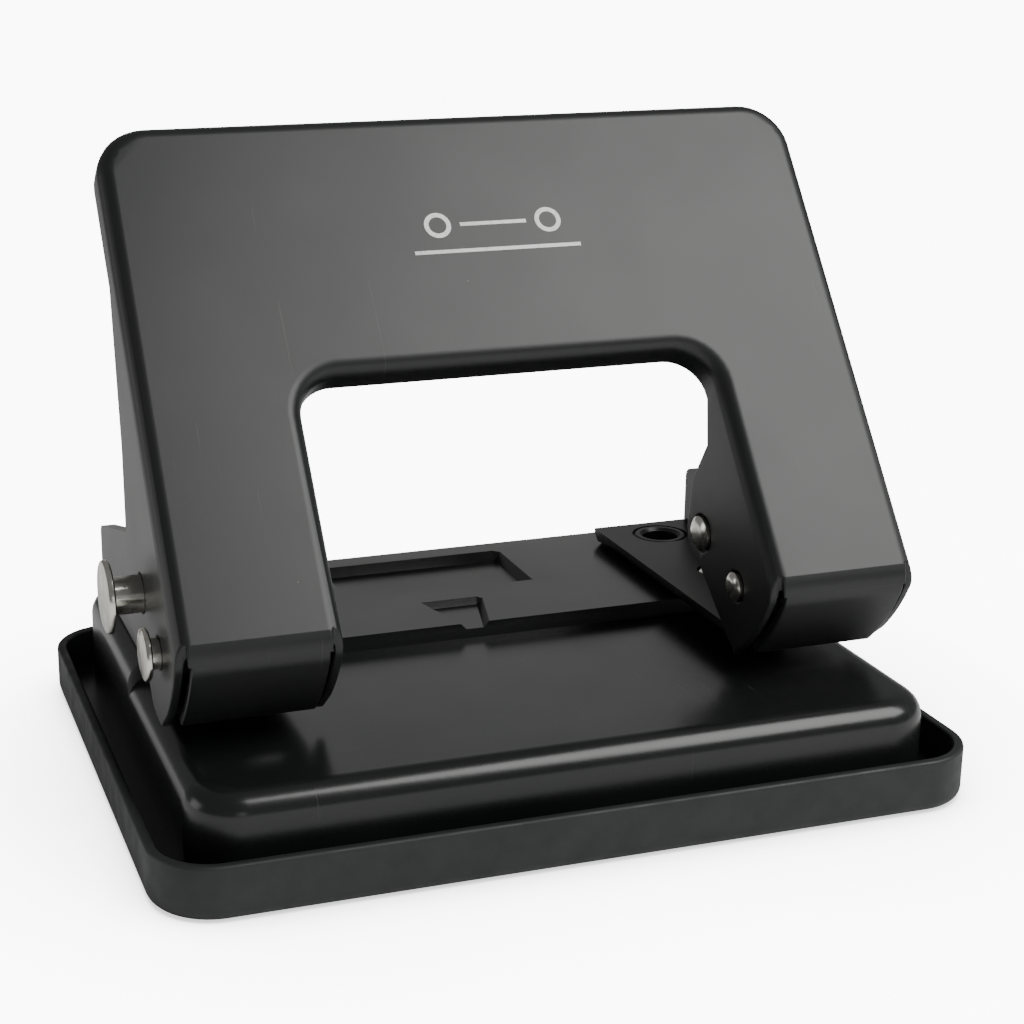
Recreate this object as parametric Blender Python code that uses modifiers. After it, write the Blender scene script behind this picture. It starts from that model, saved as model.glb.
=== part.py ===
"""Two-hole desk punch: pressed steel base and lever, two brackets, two punches, plastic chip tray.

Frame: metres, +Z up, +X to the right, the paper goes in along +Y. The origin is the middle of
the underside of the chip tray. Left and right pieces mirror each other across X = 0.
"""
import math

import bmesh
import bpy
from mathutils import Matrix, Vector

MM = 0.001

# Fits
GAP = 0.3 * MM                    # between faces that touch on the real object
HOLE_FIT = 0.2 * MM               # round a pin or rivet, on the radius
WELD = 0.005 * MM
SEGMENTS = 32                     # sides of a round piece
CORNER_STEPS = 7                  # straight pieces in a rounded corner
SLOT_STEPS = 12
CUT_PAST = 20.0 * MM              # how far a bracket's cutters stand past it
FAR = 90.0 * MM                   # past everything, for the lever's cutters

# Overall
HOLE_SPACING = 80.0 * MM
ARM_WIDTH = 21.4 * MM             # each arm of the lever, centred on its hole
LEVER_WIDTH = HOLE_SPACING + ARM_WIDTH
WINDOW_WIDTH = HOLE_SPACING - ARM_WIDTH
BASE_EDGE = 0.2 * MM              # base beyond the lever, at each side
BASE_WIDTH = LEVER_WIDTH + 2 * BASE_EDGE
BASE_DEPTH = 78.0 * MM
RIM_WIDTH = 5.2 * MM              # tray beyond the base's wall, at each side
RIM_DEPTH = 3.75 * MM             # and at the front and rear
TRAY_WIDTH = BASE_WIDTH + 2 * RIM_WIDTH
TRAY_DEPTH = BASE_DEPTH + 2 * RIM_DEPTH

# Chip tray
TRAY_HEIGHT = 7.4 * MM
TRAY_WALL = 1.4 * MM
TRAY_CORNER = 8.5 * MM
TRAY_FOOT_ROUND = 1.4 * MM

# Base plate
BASE_SHEET = 1.0 * MM
BASE_CORNER = 7.0 * MM
BASE_SHOULDER = 3.2 * MM
PLATFORM_HEIGHT = 14.1 * MM       # the surface that the paper slides on
STOP_STEP = 2.2 * MM              # how far the rear platform stands above it
STOP_DRAFT = 0.25 * MM
RIM_CLEARANCE = 0.4 * MM          # base flange to tray wall
POCKET_WIDTH = 29.6 * MM
POCKET_FRONT = 14.8 * MM          # behind the paper stop
POCKET_LENGTH = 15.0 * MM
POCKET_DEPTH = 1.4 * MM
POCKET_SLOPE = 1.0 * MM
MARK_LENGTH = 9.4 * MM            # centre mark pressed into the paper stop
MARK_REAR_WIDTH = 7.4 * MM
MARK_FRONT_WIDTH = 2.6 * MM
MARK_DEPTH = 0.9 * MM

# Holes made in the paper
PAPER_EDGE = 12.0 * MM            # hole centre to paper stop
PUNCH_DIAMETER = 6.0 * MM

# Lever mechanism
PIVOT_Y = -20.4 * MM
PIVOT_Z = 26.4 * MM
CRANK = 11.6 * MM                 # pivot pin to drive pin
CRANK_ANGLE = math.radians(21.7)  # drive pin above the level of the pivot, at rest
TRAVEL = math.radians(20.0)

# Lever
LEVER_SHEET = 1.2 * MM
FOLD_Y = -30.0 * MM               # crease between the face and the nose
FOLD_Z = 31.3 * MM
LEAN = math.radians(37.3)
FACE_LENGTH = 71.6 * MM
WINDOW_TOP = 33.5 * MM
FACE_CORNER = 7.0 * MM
WINDOW_CORNER = 5.5 * MM
BEND = 2.2 * MM                   # outside radius of the bends
EDGE_DEPTH = 5.5 * MM             # depth of the turned edges of the face
WINDOW_EDGE = 5.2 * MM            # and of the turned edges of the window
NOSE_SLIT = 0.7 * MM              # between the curled nose and each flange
NOSE_BEND = 4.5 * MM              # outside radius of the fold under the face
NOSE_TURN = math.radians(28.0)    # the nose leans back by this much where the fold ends
NOSE_CURL = 32.0 * MM             # outside radius of the rest of the nose
NOSE_END = math.radians(49.0)     # lean of the nose at its lower edge
NOSE_EXTRA = math.radians(3.0)    # how far cutters follow the nose past that edge
FLANGE_INSET = 0.9 * MM           # flange front edges behind the nose
LOBE = 4.7 * MM                   # inner flange round the drive pin

# Brackets
BRACKET_SHEET = 2.0 * MM
BRACKET_GAP = 0.4 * MM            # to the lever's outer flange
BRACKET_INNER_GAP = 0.7 * MM      # to its inner flange
BRACKET_WIDTH = ARM_WIDTH - 2 * LEVER_SHEET - BRACKET_GAP - BRACKET_INNER_GAP
BRACKET_REAR = 29.0 * MM          # foot length behind the paper stop
BRACKET_FRONT = 2.4 * MM           # front end of the foot, behind the pivot
BRACKET_BEND = 1.4 * MM
WALL_REAR_HEIGHT = 10.6 * MM      # outer wall above the foot's underside, at its rear end
EAR_REAR = 7.0 * MM               # rear edge of the inner ear, behind the pivot
EAR_ROOT = 3.6 * MM               # and at the foot
EAR_BEND = 6.5 * MM               # where that edge turns, below the pivot
CROWN = 2.0 * MM                  # outer wall above the drive pin's slot
SLOT_MARGIN = 0.45 * MM

# Pins
PIVOT_PIN = 4.0 * MM
PIVOT_HEAD = 6.8 * MM
PIVOT_HEAD_THICK = 0.9 * MM
PIVOT_PROUD = 2.2 * MM
DRIVE_PIN = 5.0 * MM
DRIVE_HEAD = 9.6 * MM
DRIVE_HEAD_THICK = 1.0 * MM
DRIVE_PROUD = 5.0 * MM
PIN_TAIL = 1.0 * MM               # proud of the inner flange
PIN_CHAMFER = 0.4 * MM

# Punches and springs
PUNCH_HEAD = 9.6 * MM
PUNCH_HEAD_BELOW = 3.7 * MM       # head shoulder below the drive pin's middle
PUNCH_HEAD_ABOVE = 3.9 * MM
PUNCH_RETRACT = 0.3 * MM          # tip above the foot's underside, at rest
PUNCH_NOTCH = 1.4 * MM
SEAT_THICK = 0.5 * MM
SEAT_DIAMETER = 10.4 * MM
SPRING_WIRE = 0.6 * MM
SPRING_DIAMETER = 8.5 * MM        # mean
SPRING_TURNS = 3.0
SPRING_POINTS = 14                # per turn

# Rivets and eyelets between bracket and base
RIVET_Y = 4.3 * MM                # behind the paper stop
RIVET_SHANK = 3.0 * MM
RIVET_HEAD = 4.4 * MM
RIVET_HEAD_THICK = 0.6 * MM
RIVET_SINK = 0.9 * MM
EYELET_Y = 23.0 * MM
EYELET_BORE = 5.6 * MM
EYELET_OUTER = 6.8 * MM
EYELET_LIP = 8.4 * MM
EYELET_LIP_THICK = 0.4 * MM
EYELET_SINK = EYELET_LIP_THICK + GAP  # the lip lies level with the foot
TAIL_THICK = 0.7 * MM

# Places that follow from the sizes above
ARM_X = HOLE_SPACING / 2
DRIVE_Y = PIVOT_Y + CRANK * math.cos(CRANK_ANGLE)
DRIVE_Z = PIVOT_Z + CRANK * math.sin(CRANK_ANGLE)
DRIVE_Z_DOWN = PIVOT_Z + CRANK * math.sin(CRANK_ANGLE - TRAVEL)
DRIVE_Y_DOWN = PIVOT_Y + CRANK * math.cos(CRANK_ANGLE - TRAVEL)
PUNCH_Y = (DRIVE_Y + DRIVE_Y_DOWN) / 2
STOP_Y = PUNCH_Y + PAPER_EDGE
REAR_HEIGHT = PLATFORM_HEIGHT + STOP_STEP
FOOT_TOP = REAR_HEIGHT + GAP + BRACKET_SHEET
LEVER_OUT = LEVER_WIDTH / 2
LEVER_IN = WINDOW_WIDTH / 2
WALL_OUT = LEVER_OUT - LEVER_SHEET - BRACKET_GAP
WALL_IN = WALL_OUT - BRACKET_WIDTH
BASE_FLOOR = TRAY_WALL + GAP
SEAT_LOW = FOOT_TOP + GAP
CAP_LOW = DRIVE_Z - PUNCH_HEAD_BELOW - GAP - SEAT_THICK

SIDES = {"left": -1.0, "right": 1.0}

# Colour, roughness, metallic
BLACK_ENAMEL = ("black_enamel", (0.012, 0.012, 0.013, 1.0), 0.30, 0.0)
BLACK_PLASTIC = ("black_plastic", (0.030, 0.031, 0.034, 1.0), 0.55, 0.0)
NICKEL = ("nickel_plate", (0.62, 0.60, 0.55, 1.0), 0.22, 1.0)
TOOL_STEEL = ("tool_steel", (0.42, 0.42, 0.43, 1.0), 0.30, 1.0)
SPRING_STEEL = ("spring_steel", (0.35, 0.35, 0.37, 1.0), 0.35, 1.0)


# ---------------------------------------------------------------- helpers

def clear_scene():
    """Remove whatever the file holds."""
    for item in list(bpy.data.objects):
        bpy.data.objects.remove(item, do_unlink=True)


def collection(name):
    """A new collection in the scene."""
    made = bpy.data.collections.new(name)
    bpy.context.scene.collection.children.link(made)
    return made


def material(spec):
    """The Principled material of a finish, made once."""
    name, colour, roughness, metallic = spec
    found = bpy.data.materials.get(name)
    if found:
        return found
    made = bpy.data.materials.new(name)
    made.use_nodes = True
    shader = made.node_tree.nodes["Principled BSDF"]
    shader.inputs["Base Color"].default_value = colour
    shader.inputs["Roughness"].default_value = roughness
    shader.inputs["Metallic"].default_value = metallic
    made.diffuse_color = colour
    return made


def add_part(name, mesh, finish, angle=35.0):
    """Put a finished mesh in the part's collection."""
    made = bpy.data.objects.new(name, mesh)
    PARTS.objects.link(made)
    mesh.materials.clear()
    mesh.materials.append(material(finish))
    mesh.shade_smooth()
    mesh.set_sharp_from_angle(angle=math.radians(angle))
    return made


def add_cutter(name, mesh):
    """Put a mesh among the cutters, which are not part of the object."""
    made = bpy.data.objects.new(name, mesh)
    CUTTERS.objects.link(made)
    made.hide_render = True
    made.display_type = "WIRE"
    return made


def mesh_from(bm, name):
    """Close a bmesh into a mesh with its faces pointing out."""
    bmesh.ops.recalc_face_normals(bm, faces=bm.faces)
    mesh = bpy.data.meshes.new(name)
    bm.to_mesh(mesh)
    bm.free()
    return mesh


def box(name, low, high):
    """A box between two corners."""
    low, high = Vector(low), Vector(high)
    size = high - low
    bm = bmesh.new()
    place = Matrix.Translation((low + high) / 2) @ Matrix.Diagonal((*size, 1.0))
    bmesh.ops.create_cube(bm, size=1.0, matrix=place)
    return mesh_from(bm, name)


def upright(name, x, y, z0, z1, diameter):
    """A round bar along Z."""
    bm = bmesh.new()
    bmesh.ops.create_cone(
        bm, cap_ends=True, segments=SEGMENTS, radius1=diameter / 2, radius2=diameter / 2,
        depth=z1 - z0, matrix=Matrix.Translation((x, y, (z0 + z1) / 2)))
    return mesh_from(bm, name)


def crosswise(name, x0, x1, y, z, diameter):
    """A round bar along X."""
    bm = bmesh.new()
    place = Matrix.Translation(((x0 + x1) / 2, y, z)) @ Matrix.Rotation(math.pi / 2, 4, "Y")
    bmesh.ops.create_cone(bm, cap_ends=True, segments=SEGMENTS, radius1=diameter / 2,
                          radius2=diameter / 2, depth=x1 - x0, matrix=place)
    return mesh_from(bm, name)


def arc(centre, radius, start, end, steps):
    """Points along an arc, angles in radians."""
    turn = (end - start) / steps
    return [(centre[0] + radius * math.cos(start + turn * k),
             centre[1] + radius * math.sin(start + turn * k)) for k in range(steps + 1)]


def rounded(corners, steps=CORNER_STEPS):
    """An outline from (point, radius) corners, each rounded corner as an arc."""
    outline = []
    count = len(corners)
    for k, (point, radius) in enumerate(corners):
        here = Vector(point)
        if radius == 0.0:
            outline.append(tuple(here))
            continue
        before = (Vector(corners[k - 1][0]) - here).normalized()
        after = (Vector(corners[(k + 1) % count][0]) - here).normalized()
        half = before.angle(after) / 2
        centre = here + (before + after).normalized() * radius / math.sin(half)
        first = here + before * radius / math.tan(half) - centre
        last = here + after * radius / math.tan(half) - centre
        start = math.atan2(first.y, first.x)
        sweep = math.atan2(last.y, last.x) - start
        sweep = (sweep + math.pi) % (2 * math.pi) - math.pi
        outline += arc(centre, radius, start, start + sweep, steps)
    return outline


def slab(name, outline, thickness, place, bevel=0.0, bevel_steps=0):
    """A flat outline with thickness, middle plane on the XY plane of place, as a mesh."""
    data = bpy.data.curves.new(name, "CURVE")
    data.dimensions = "2D"
    data.fill_mode = "BOTH"
    data.extrude = thickness / 2 - bevel
    data.bevel_depth = bevel
    data.bevel_resolution = bevel_steps
    data.offset = -bevel
    spline = data.splines.new("POLY")
    spline.points.add(len(outline) - 1)
    for point, (x, y) in zip(spline.points, outline):
        point.co = (x, y, 0.0, 1.0)
    spline.use_cyclic_u = True
    holder = bpy.data.objects.new(name, data)
    bpy.context.scene.collection.objects.link(holder)
    bpy.context.view_layer.update()
    seen = holder.evaluated_get(bpy.context.evaluated_depsgraph_get())
    mesh = bpy.data.meshes.new_from_object(seen)
    bpy.data.objects.remove(holder, do_unlink=True)
    bm = bmesh.new()
    bm.from_mesh(mesh)
    bpy.data.meshes.remove(mesh)
    bmesh.ops.remove_doubles(bm, verts=bm.verts, dist=1e-7)
    bmesh.ops.dissolve_degenerate(bm, edges=bm.edges, dist=1e-7)
    bm.transform(place)
    return mesh_from(bm, name)


def side_place(x):
    """Where a side outline, drawn as (Y, Z), stands across X at its middle plane."""
    turn = Matrix(((0, 0, 1, 0), (1, 0, 0, 0), (0, 1, 0, 0), (0, 0, 0, 1)))
    return Matrix.Translation((x, 0, 0)) @ turn


def side_slab(name, outline, x0, x1):
    """A side outline, drawn as (Y, Z), from x0 to x1."""
    low, high = min(x0, x1), max(x0, x1)
    return slab(name, outline, high - low, side_place((low + high) / 2))


def cut(part, cutters):
    """Take the cutters away from a part, then drop the modifiers into its mesh."""
    for other in cutters:
        step = part.modifiers.new(other.name, "BOOLEAN")
        step.operation = "DIFFERENCE"
        step.solver = "EXACT"
        step.object = other
        bpy.context.view_layer.update()
        seen = part.evaluated_get(bpy.context.evaluated_depsgraph_get())
        result = bpy.data.meshes.new_from_object(seen)
        part.modifiers.clear()
        old = part.data
        part.data = result
        bpy.data.meshes.remove(old)
        tidy_mesh(result)


def tidy_mesh(mesh):
    """Weld points that a Boolean left side by side and join what it split in one plane."""
    bm = bmesh.new()
    bm.from_mesh(mesh)
    bmesh.ops.remove_doubles(bm, verts=bm.verts, dist=WELD)
    bmesh.ops.dissolve_degenerate(bm, edges=bm.edges, dist=WELD)
    bmesh.ops.dissolve_limit(bm, angle_limit=math.radians(0.05), verts=bm.verts, edges=bm.edges,
                             delimit=set())
    bm.to_mesh(mesh)
    bm.free()


# ---------------------------------------------------------------- tray and base

def rounded_block(size, low, high, corner, steps):
    """A block with its four upright edges rounded, as a bmesh."""
    bm = bmesh.new()
    place = Matrix.Translation((0, 0, (low + high) / 2)) @ Matrix.Diagonal((*size, high - low, 1.0))
    bmesh.ops.create_cube(bm, size=1.0, matrix=place)
    uprights = [edge for edge in bm.edges if abs(edge.verts[0].co.z - edge.verts[1].co.z) > 1e-6]
    bmesh.ops.bevel(bm, geom=uprights, offset=corner, segments=steps, profile=0.5,
                    affect="EDGES")
    return bm


def round_level(bm, z, radius, steps):
    """Round the edges that lie at one height and have a level face on one side."""
    level = [edge for edge in bm.edges
             if all(abs(vert.co.z - z) < 1e-7 for vert in edge.verts)
             and any(abs(face.normal.z) < 0.5 for face in edge.link_faces)]
    bmesh.ops.bevel(bm, geom=level, offset=radius, segments=steps, profile=0.5,
                    affect="EDGES")


def drop_faces(bm, z):
    """Remove the level faces at one height."""
    level = [face for face in bm.faces if all(abs(vert.co.z - z) < 1e-7 for vert in face.verts)]
    bmesh.ops.delete(bm, geom=level, context="FACES")


def solidified(name, bm, thickness, finish):
    """A part from an open surface, its wall laid on the inner side."""
    bmesh.ops.recalc_face_normals(bm, faces=bm.faces)
    mesh = bpy.data.meshes.new(name)
    bm.to_mesh(mesh)
    bm.free()
    part = add_part(name, mesh, finish)
    wall = part.modifiers.new("wall", "SOLIDIFY")
    wall.thickness = thickness
    wall.offset = -1.0
    wall.use_even_offset = True
    return part


def make_tray():
    """The soft plastic cover under the base, which holds the chips."""
    bm = rounded_block((TRAY_WIDTH, TRAY_DEPTH), 0.0, TRAY_HEIGHT, TRAY_CORNER, 10)
    bm.normal_update()
    round_level(bm, 0.0, TRAY_FOOT_ROUND, 3)
    drop_faces(bm, TRAY_HEIGHT)
    return solidified("chip_tray", bm, TRAY_WALL, BLACK_PLASTIC)


def slice_faces(bm, faces, point, normal):
    """Score faces along a plane without taking anything away."""
    parts = set(faces)
    parts.update(edge for face in faces for edge in face.edges)
    parts.update(vert for face in faces for vert in face.verts)
    bmesh.ops.bisect_plane(bm, geom=list(parts), plane_co=point, plane_no=normal, dist=1e-7)


def top_faces(bm, z, test):
    """Level faces at one height whose middle passes a test."""
    return [face for face in bm.faces
            if abs(face.normal.z) > 0.99 and abs(face.calc_center_median().z - z) < 1e-6
            and test(face.calc_center_median())]


def raise_rear_platform(bm):
    """Lift the top of the base behind the paper stop."""
    for y in (STOP_Y - STOP_DRAFT, STOP_Y):
        slice_faces(bm, list(bm.faces), (0, y, 0), (0, 1, 0))
    wall_top = PLATFORM_HEIGHT - BASE_SHOULDER - 1e-6
    for vert in bm.verts:
        if vert.co.z > wall_top and vert.co.y > STOP_Y - 1e-6:
            vert.co.z += STOP_STEP
    bm.normal_update()


def press_pocket(bm):
    """Press the shallow pocket into the rear platform."""
    half = POCKET_WIDTH / 2
    front = STOP_Y + POCKET_FRONT
    rear = front + POCKET_LENGTH
    for x in (-half, -half + POCKET_SLOPE, half - POCKET_SLOPE, half):
        slice_faces(bm, top_faces(bm, REAR_HEIGHT, lambda c: True), (x, 0, 0), (1, 0, 0))
    for y in (front, front + POCKET_SLOPE, rear - POCKET_SLOPE, rear):
        slice_faces(bm, top_faces(bm, REAR_HEIGHT, lambda c: abs(c.x) < half), (0, y, 0), (0, 1, 0))
    for vert in bm.verts:
        inside_x = abs(vert.co.x) < half - POCKET_SLOPE / 2
        inside_y = front + POCKET_SLOPE / 2 < vert.co.y < rear - POCKET_SLOPE / 2
        if inside_x and inside_y and abs(vert.co.z - REAR_HEIGHT) < 1e-6:
            vert.co.z -= POCKET_DEPTH
    bm.normal_update()


def press_mark(bm):
    """Press the centre mark, an arrow that narrows towards the paper, into the stop."""
    rear = STOP_Y + MARK_LENGTH
    half = MARK_REAR_WIDTH / 2 + MARK_DEPTH

    def near(c):
        return abs(c.x) < POCKET_WIDTH / 2 - POCKET_SLOPE and c.y < STOP_Y + POCKET_FRONT

    for y in (rear, rear + MARK_DEPTH):
        slice_faces(bm, top_faces(bm, REAR_HEIGHT, near), (0, y, 0), (0, 1, 0))
    lean = (MARK_REAR_WIDTH - MARK_FRONT_WIDTH) / 2 / MARK_LENGTH
    for side in (-1.0, 1.0):
        for extra in (0.0, MARK_DEPTH):
            point = (side * (MARK_FRONT_WIDTH / 2 + extra), STOP_Y, 0)
            faces = top_faces(bm, REAR_HEIGHT, lambda c: near(c) and c.y < rear + MARK_DEPTH)
            slice_faces(bm, faces, point, (1, -side * lean, 0))
    for vert in bm.verts:
        if abs(vert.co.z - REAR_HEIGHT) > 1e-6 or vert.co.y > rear + 1e-6 or vert.co.y < STOP_Y - 1e-6:
            continue
        reach = MARK_FRONT_WIDTH / 2 + lean * (vert.co.y - STOP_Y)
        if abs(vert.co.x) < min(reach, half) + 1e-6:
            vert.co.z -= MARK_DEPTH
    bm.normal_update()


def make_base():
    """The pressed base plate: paper platform, raised rear platform, shoulder, wall and flange."""
    flange_top = BASE_FLOOR + BASE_SHEET
    bm = rounded_block((BASE_WIDTH, BASE_DEPTH), flange_top, PLATFORM_HEIGHT, BASE_CORNER, 8)
    bm.normal_update()
    round_level(bm, PLATFORM_HEIGHT, BASE_SHOULDER, 5)
    bm.normal_update()
    raise_rear_platform(bm)
    press_pocket(bm)
    press_mark(bm)
    drop_faces(bm, flange_top)
    hem = [edge for edge in bm.edges if edge.is_boundary]
    grown = bmesh.ops.extrude_edge_only(bm, edges=hem)["geom"]
    reach = Vector((TRAY_WIDTH, TRAY_DEPTH)) / 2 - Vector((1, 1)) * (TRAY_WALL + RIM_CLEARANCE)
    stretch = (2 * reach.x / BASE_WIDTH, 2 * reach.y / BASE_DEPTH, 1.0)
    bmesh.ops.scale(bm, vec=stretch, verts=[item for item in grown if isinstance(item, bmesh.types.BMVert)])
    bmesh.ops.triangulate(bm, faces=[face for face in bm.faces if len(face.verts) > 4])
    base = solidified("base_plate", bm, BASE_SHEET, BLACK_ENAMEL)
    cutters = []
    for side_name, side in SIDES.items():
        x = side * ARM_X
        bores = (("die", PUNCH_Y, PUNCH_DIAMETER), ("rivet", STOP_Y + RIVET_Y, RIVET_SHANK),
                 ("eyelet", STOP_Y + EYELET_Y, EYELET_OUTER))
        for kind, y, diameter in bores:
            mesh = upright(kind, x, y, BASE_FLOOR, REAR_HEIGHT + BASE_SHEET, diameter + 2 * HOLE_FIT)
            cutters.append(add_cutter(f"{side_name}_{kind}_bore", mesh))
    cut(base, cutters)
    return base


# ---------------------------------------------------------------- brackets

def wall_outline():
    """The bracket's outer wall, drawn as (Y, Z), down to the foot's underside."""
    low = REAR_HEIGHT + GAP
    front = PIVOT_Y + BRACKET_FRONT
    rear = STOP_Y + BRACKET_REAR
    crown = DRIVE_Z + DRIVE_PIN / 2 + SLOT_MARGIN + CROWN
    return rounded((
        ((front, low), 0.0),
        ((rear, low), 0.0),
        ((rear, low + WALL_REAR_HEIGHT), 1.6 * MM),
        ((DRIVE_Y + 9.0 * MM, crown), 4.0 * MM),
        ((DRIVE_Y - 4.0 * MM, crown), 3.0 * MM),
        ((PIVOT_Y - 3.4 * MM, PIVOT_Z + 5.2 * MM), 3.6 * MM),
        ((PIVOT_Y - 4.2 * MM, PIVOT_Z - 1.6 * MM), 2.6 * MM),
    ))


def ear_space_outline():
    """What is taken off the bracket's inner side behind its ear, drawn as (Y, Z)."""
    far = STOP_Y + BRACKET_REAR + 5.0 * MM
    high = DRIVE_Z + CUT_PAST
    return rounded((
        ((PIVOT_Y + EAR_ROOT, FOOT_TOP), 0.0),
        ((far, FOOT_TOP), 0.0),
        ((far, high), 0.0),
        ((PIVOT_Y + EAR_REAR, high), 0.0),
        ((PIVOT_Y + EAR_REAR, PIVOT_Z - EAR_BEND), 2.0 * MM),
    ))


def drive_slot_outline():
    """The slot that clears the drive pin over its whole travel, drawn as (Y, Z)."""
    half = DRIVE_PIN / 2 + SLOT_MARGIN + (DRIVE_Y_DOWN - DRIVE_Y) / 2
    top = arc((PUNCH_Y, DRIVE_Z), half, 0.0, math.pi, SLOT_STEPS)
    bottom = arc((PUNCH_Y, DRIVE_Z_DOWN), half, math.pi, 2 * math.pi, SLOT_STEPS)
    return top + bottom


def make_bracket(side_name, side):
    """A channel bracket: foot on the rear platform, full outer wall, short inner ear."""
    outer, inner = side * WALL_OUT, side * WALL_IN
    mesh = side_slab(f"{side_name}_bracket", wall_outline(), outer, inner)
    bm = bmesh.new()
    bm.from_mesh(mesh)
    low = REAR_HEIGHT + GAP
    heels = [edge for edge in bm.edges
             if all(abs(vert.co.z - low) < 1e-6 for vert in edge.verts)
             and abs(edge.verts[0].co.x - edge.verts[1].co.x) < 1e-6]
    bmesh.ops.bevel(bm, geom=heels, offset=BRACKET_BEND, segments=4, profile=0.5, affect="EDGES")
    bm.to_mesh(mesh)
    bm.free()
    bracket = add_part(f"{side_name}_bracket", mesh, BLACK_ENAMEL)
    high = DRIVE_Z + CUT_PAST
    x0, x1 = sorted((outer - side * BRACKET_SHEET, inner + side * BRACKET_SHEET))
    ear = sorted((inner - side * 2.0 * MM, inner + side * (BRACKET_SHEET + 0.5 * MM)))
    span = sorted((outer + side * 2.0 * MM, inner - side * 2.0 * MM))
    x = side * ARM_X
    rear = STOP_Y + BRACKET_REAR + 9.0 * MM
    channel = box("channel", (x0, PIVOT_Y - CUT_PAST, FOOT_TOP), (x1, rear, high))
    cuts = {
        "channel": channel,
        "ear": side_slab("ear", ear_space_outline(), *ear),
        "slot": side_slab("slot", drive_slot_outline(), *span),
        "pivot": crosswise("pivot", *span, PIVOT_Y, PIVOT_Z, PIVOT_PIN + 2 * HOLE_FIT),
        "guide": upright("guide", x, PUNCH_Y, low - MM, FOOT_TOP + MM, PUNCH_DIAMETER + 2 * HOLE_FIT),
        "rivet": upright("rivet", x, STOP_Y + RIVET_Y, low - MM, FOOT_TOP + MM,
                         RIVET_SHANK + 2 * HOLE_FIT),
        "sink": upright("sink", x, STOP_Y + RIVET_Y, FOOT_TOP - RIVET_SINK, FOOT_TOP + MM,
                        RIVET_HEAD + 2 * HOLE_FIT),
        "eyelet": upright("eyelet", x, STOP_Y + EYELET_Y, low - MM, FOOT_TOP + MM,
                          EYELET_OUTER + 2 * HOLE_FIT),
        "recess": upright("recess", x, STOP_Y + EYELET_Y, FOOT_TOP - EYELET_SINK, FOOT_TOP + MM,
                          EYELET_LIP + 2 * HOLE_FIT),
    }
    cut(bracket, [add_cutter(f"{side_name}_{name}_cut", made) for name, made in cuts.items()])
    return bracket


# ---------------------------------------------------------------- lever

def face_point(up, back=0.0):
    """A point (Y, Z) up the lever's face from the fold, and behind it."""
    return (FOLD_Y + up * math.sin(LEAN) + back * math.cos(LEAN),
            FOLD_Z + up * math.cos(LEAN) - back * math.sin(LEAN))


def face_outline(inset):
    """The lever's face as an arch, drawn as (X, up), drawn in by inset."""
    out = LEVER_OUT - inset
    window = LEVER_IN + inset
    foot = -30.0 * MM
    top = FACE_LENGTH - inset
    return rounded((
        ((-out, foot), 0.0),
        ((-out, top), FACE_CORNER - inset),
        ((out, top), FACE_CORNER - inset),
        ((out, foot), 0.0),
        ((window, foot), 0.0),
        ((window, WINDOW_TOP + inset), WINDOW_CORNER + inset),
        ((-window, WINDOW_TOP + inset), WINDOW_CORNER + inset),
        ((-window, foot), 0.0),
    ), steps=9)


def face_block(name, inset, bevel, steps, depth):
    """The arch as a thick block behind the face, its front edges rounded."""
    up = Matrix.Rotation(math.pi / 2 - LEAN, 4, "X")
    middle = face_point(0.0, inset + depth / 2)
    place = Matrix.Translation((0, middle[0], middle[1])) @ up
    return slab(name, face_outline(inset), depth, place, bevel, steps)


def nose_curve(inset, start=0.0, extra=0.0):
    """The curled nose in profile, as (Y, Z) points from the fold down, drawn in by inset."""
    across = math.pi - LEAN + start
    bend_centre = Vector(face_point(0.0, NOSE_BEND))
    join_angle = math.pi + NOSE_TURN
    outward = Vector((math.cos(join_angle), math.sin(join_angle)))
    curl_centre = bend_centre + outward * (NOSE_BEND - NOSE_CURL)
    bend = arc(bend_centre, NOSE_BEND - inset, across, join_angle, 8)
    curl = arc(curl_centre, NOSE_CURL - inset, join_angle, math.pi + NOSE_END + extra, 6)
    return bend + curl[1:]


def near_drive(back, up):
    """A point (Y, Z) measured from the drive pin, in millimetres."""
    return (DRIVE_Y + back * MM, DRIVE_Z + up * MM)


def near_pivot(back, up):
    """A point (Y, Z) measured from the pivot pin, in millimetres."""
    return (PIVOT_Y + back * MM, PIVOT_Z + up * MM)


def outer_rear_edge():
    """Rear and lower edge of the outer flanges, from the top of the face down to the tip."""
    return [
        face_point(FACE_LENGTH + 3.0 * MM, EDGE_DEPTH),
        face_point(0.70 * FACE_LENGTH, EDGE_DEPTH),
        near_drive(10.5, 17.3),
        near_drive(10.1, 5.3),
        near_drive(10.7, -5.1),
        near_drive(10.5, -6.8),
        near_drive(9.2, -7.8),
        near_pivot(7.4, -7.0),
        near_pivot(5.4, -9.2),
        near_pivot(2.8, -10.0),
        near_pivot(0.2, -10.1),
    ]


def inner_rear_edge():
    """Rear edge of the window's turned edges and of the inner flanges, from the top down."""
    lobe = arc((DRIVE_Y, DRIVE_Z), LOBE, math.radians(8.0), math.radians(-82.0), 8)
    return [
        face_point(WINDOW_TOP + 6.0 * MM, 30.0 * MM),
        face_point(WINDOW_TOP + 6.0 * MM, WINDOW_EDGE),
        face_point(WINDOW_TOP - 6.0 * MM, WINDOW_EDGE),
        near_drive(-0.2, 13.0),
        near_drive(3.6, 7.2),
    ] + lobe + [near_pivot(2.4, -7.8), near_pivot(0.2, -9.3)]


def behind(edge):
    """The region behind a rear edge, closed far behind and below the lever."""
    far = FAR
    first, last = edge[0], edge[-1]
    return edge + [(last[0], -far), (far, -far), (far, first[1])]


def in_front(edge):
    """The region in front of an edge that starts before the face, closed far in front."""
    far = -FAR
    before = face_point(0.6 * MM, -0.4 * MM)
    return [before] + edge + [(edge[-1][0], far), (far, far), (far, before[1])]


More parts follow.
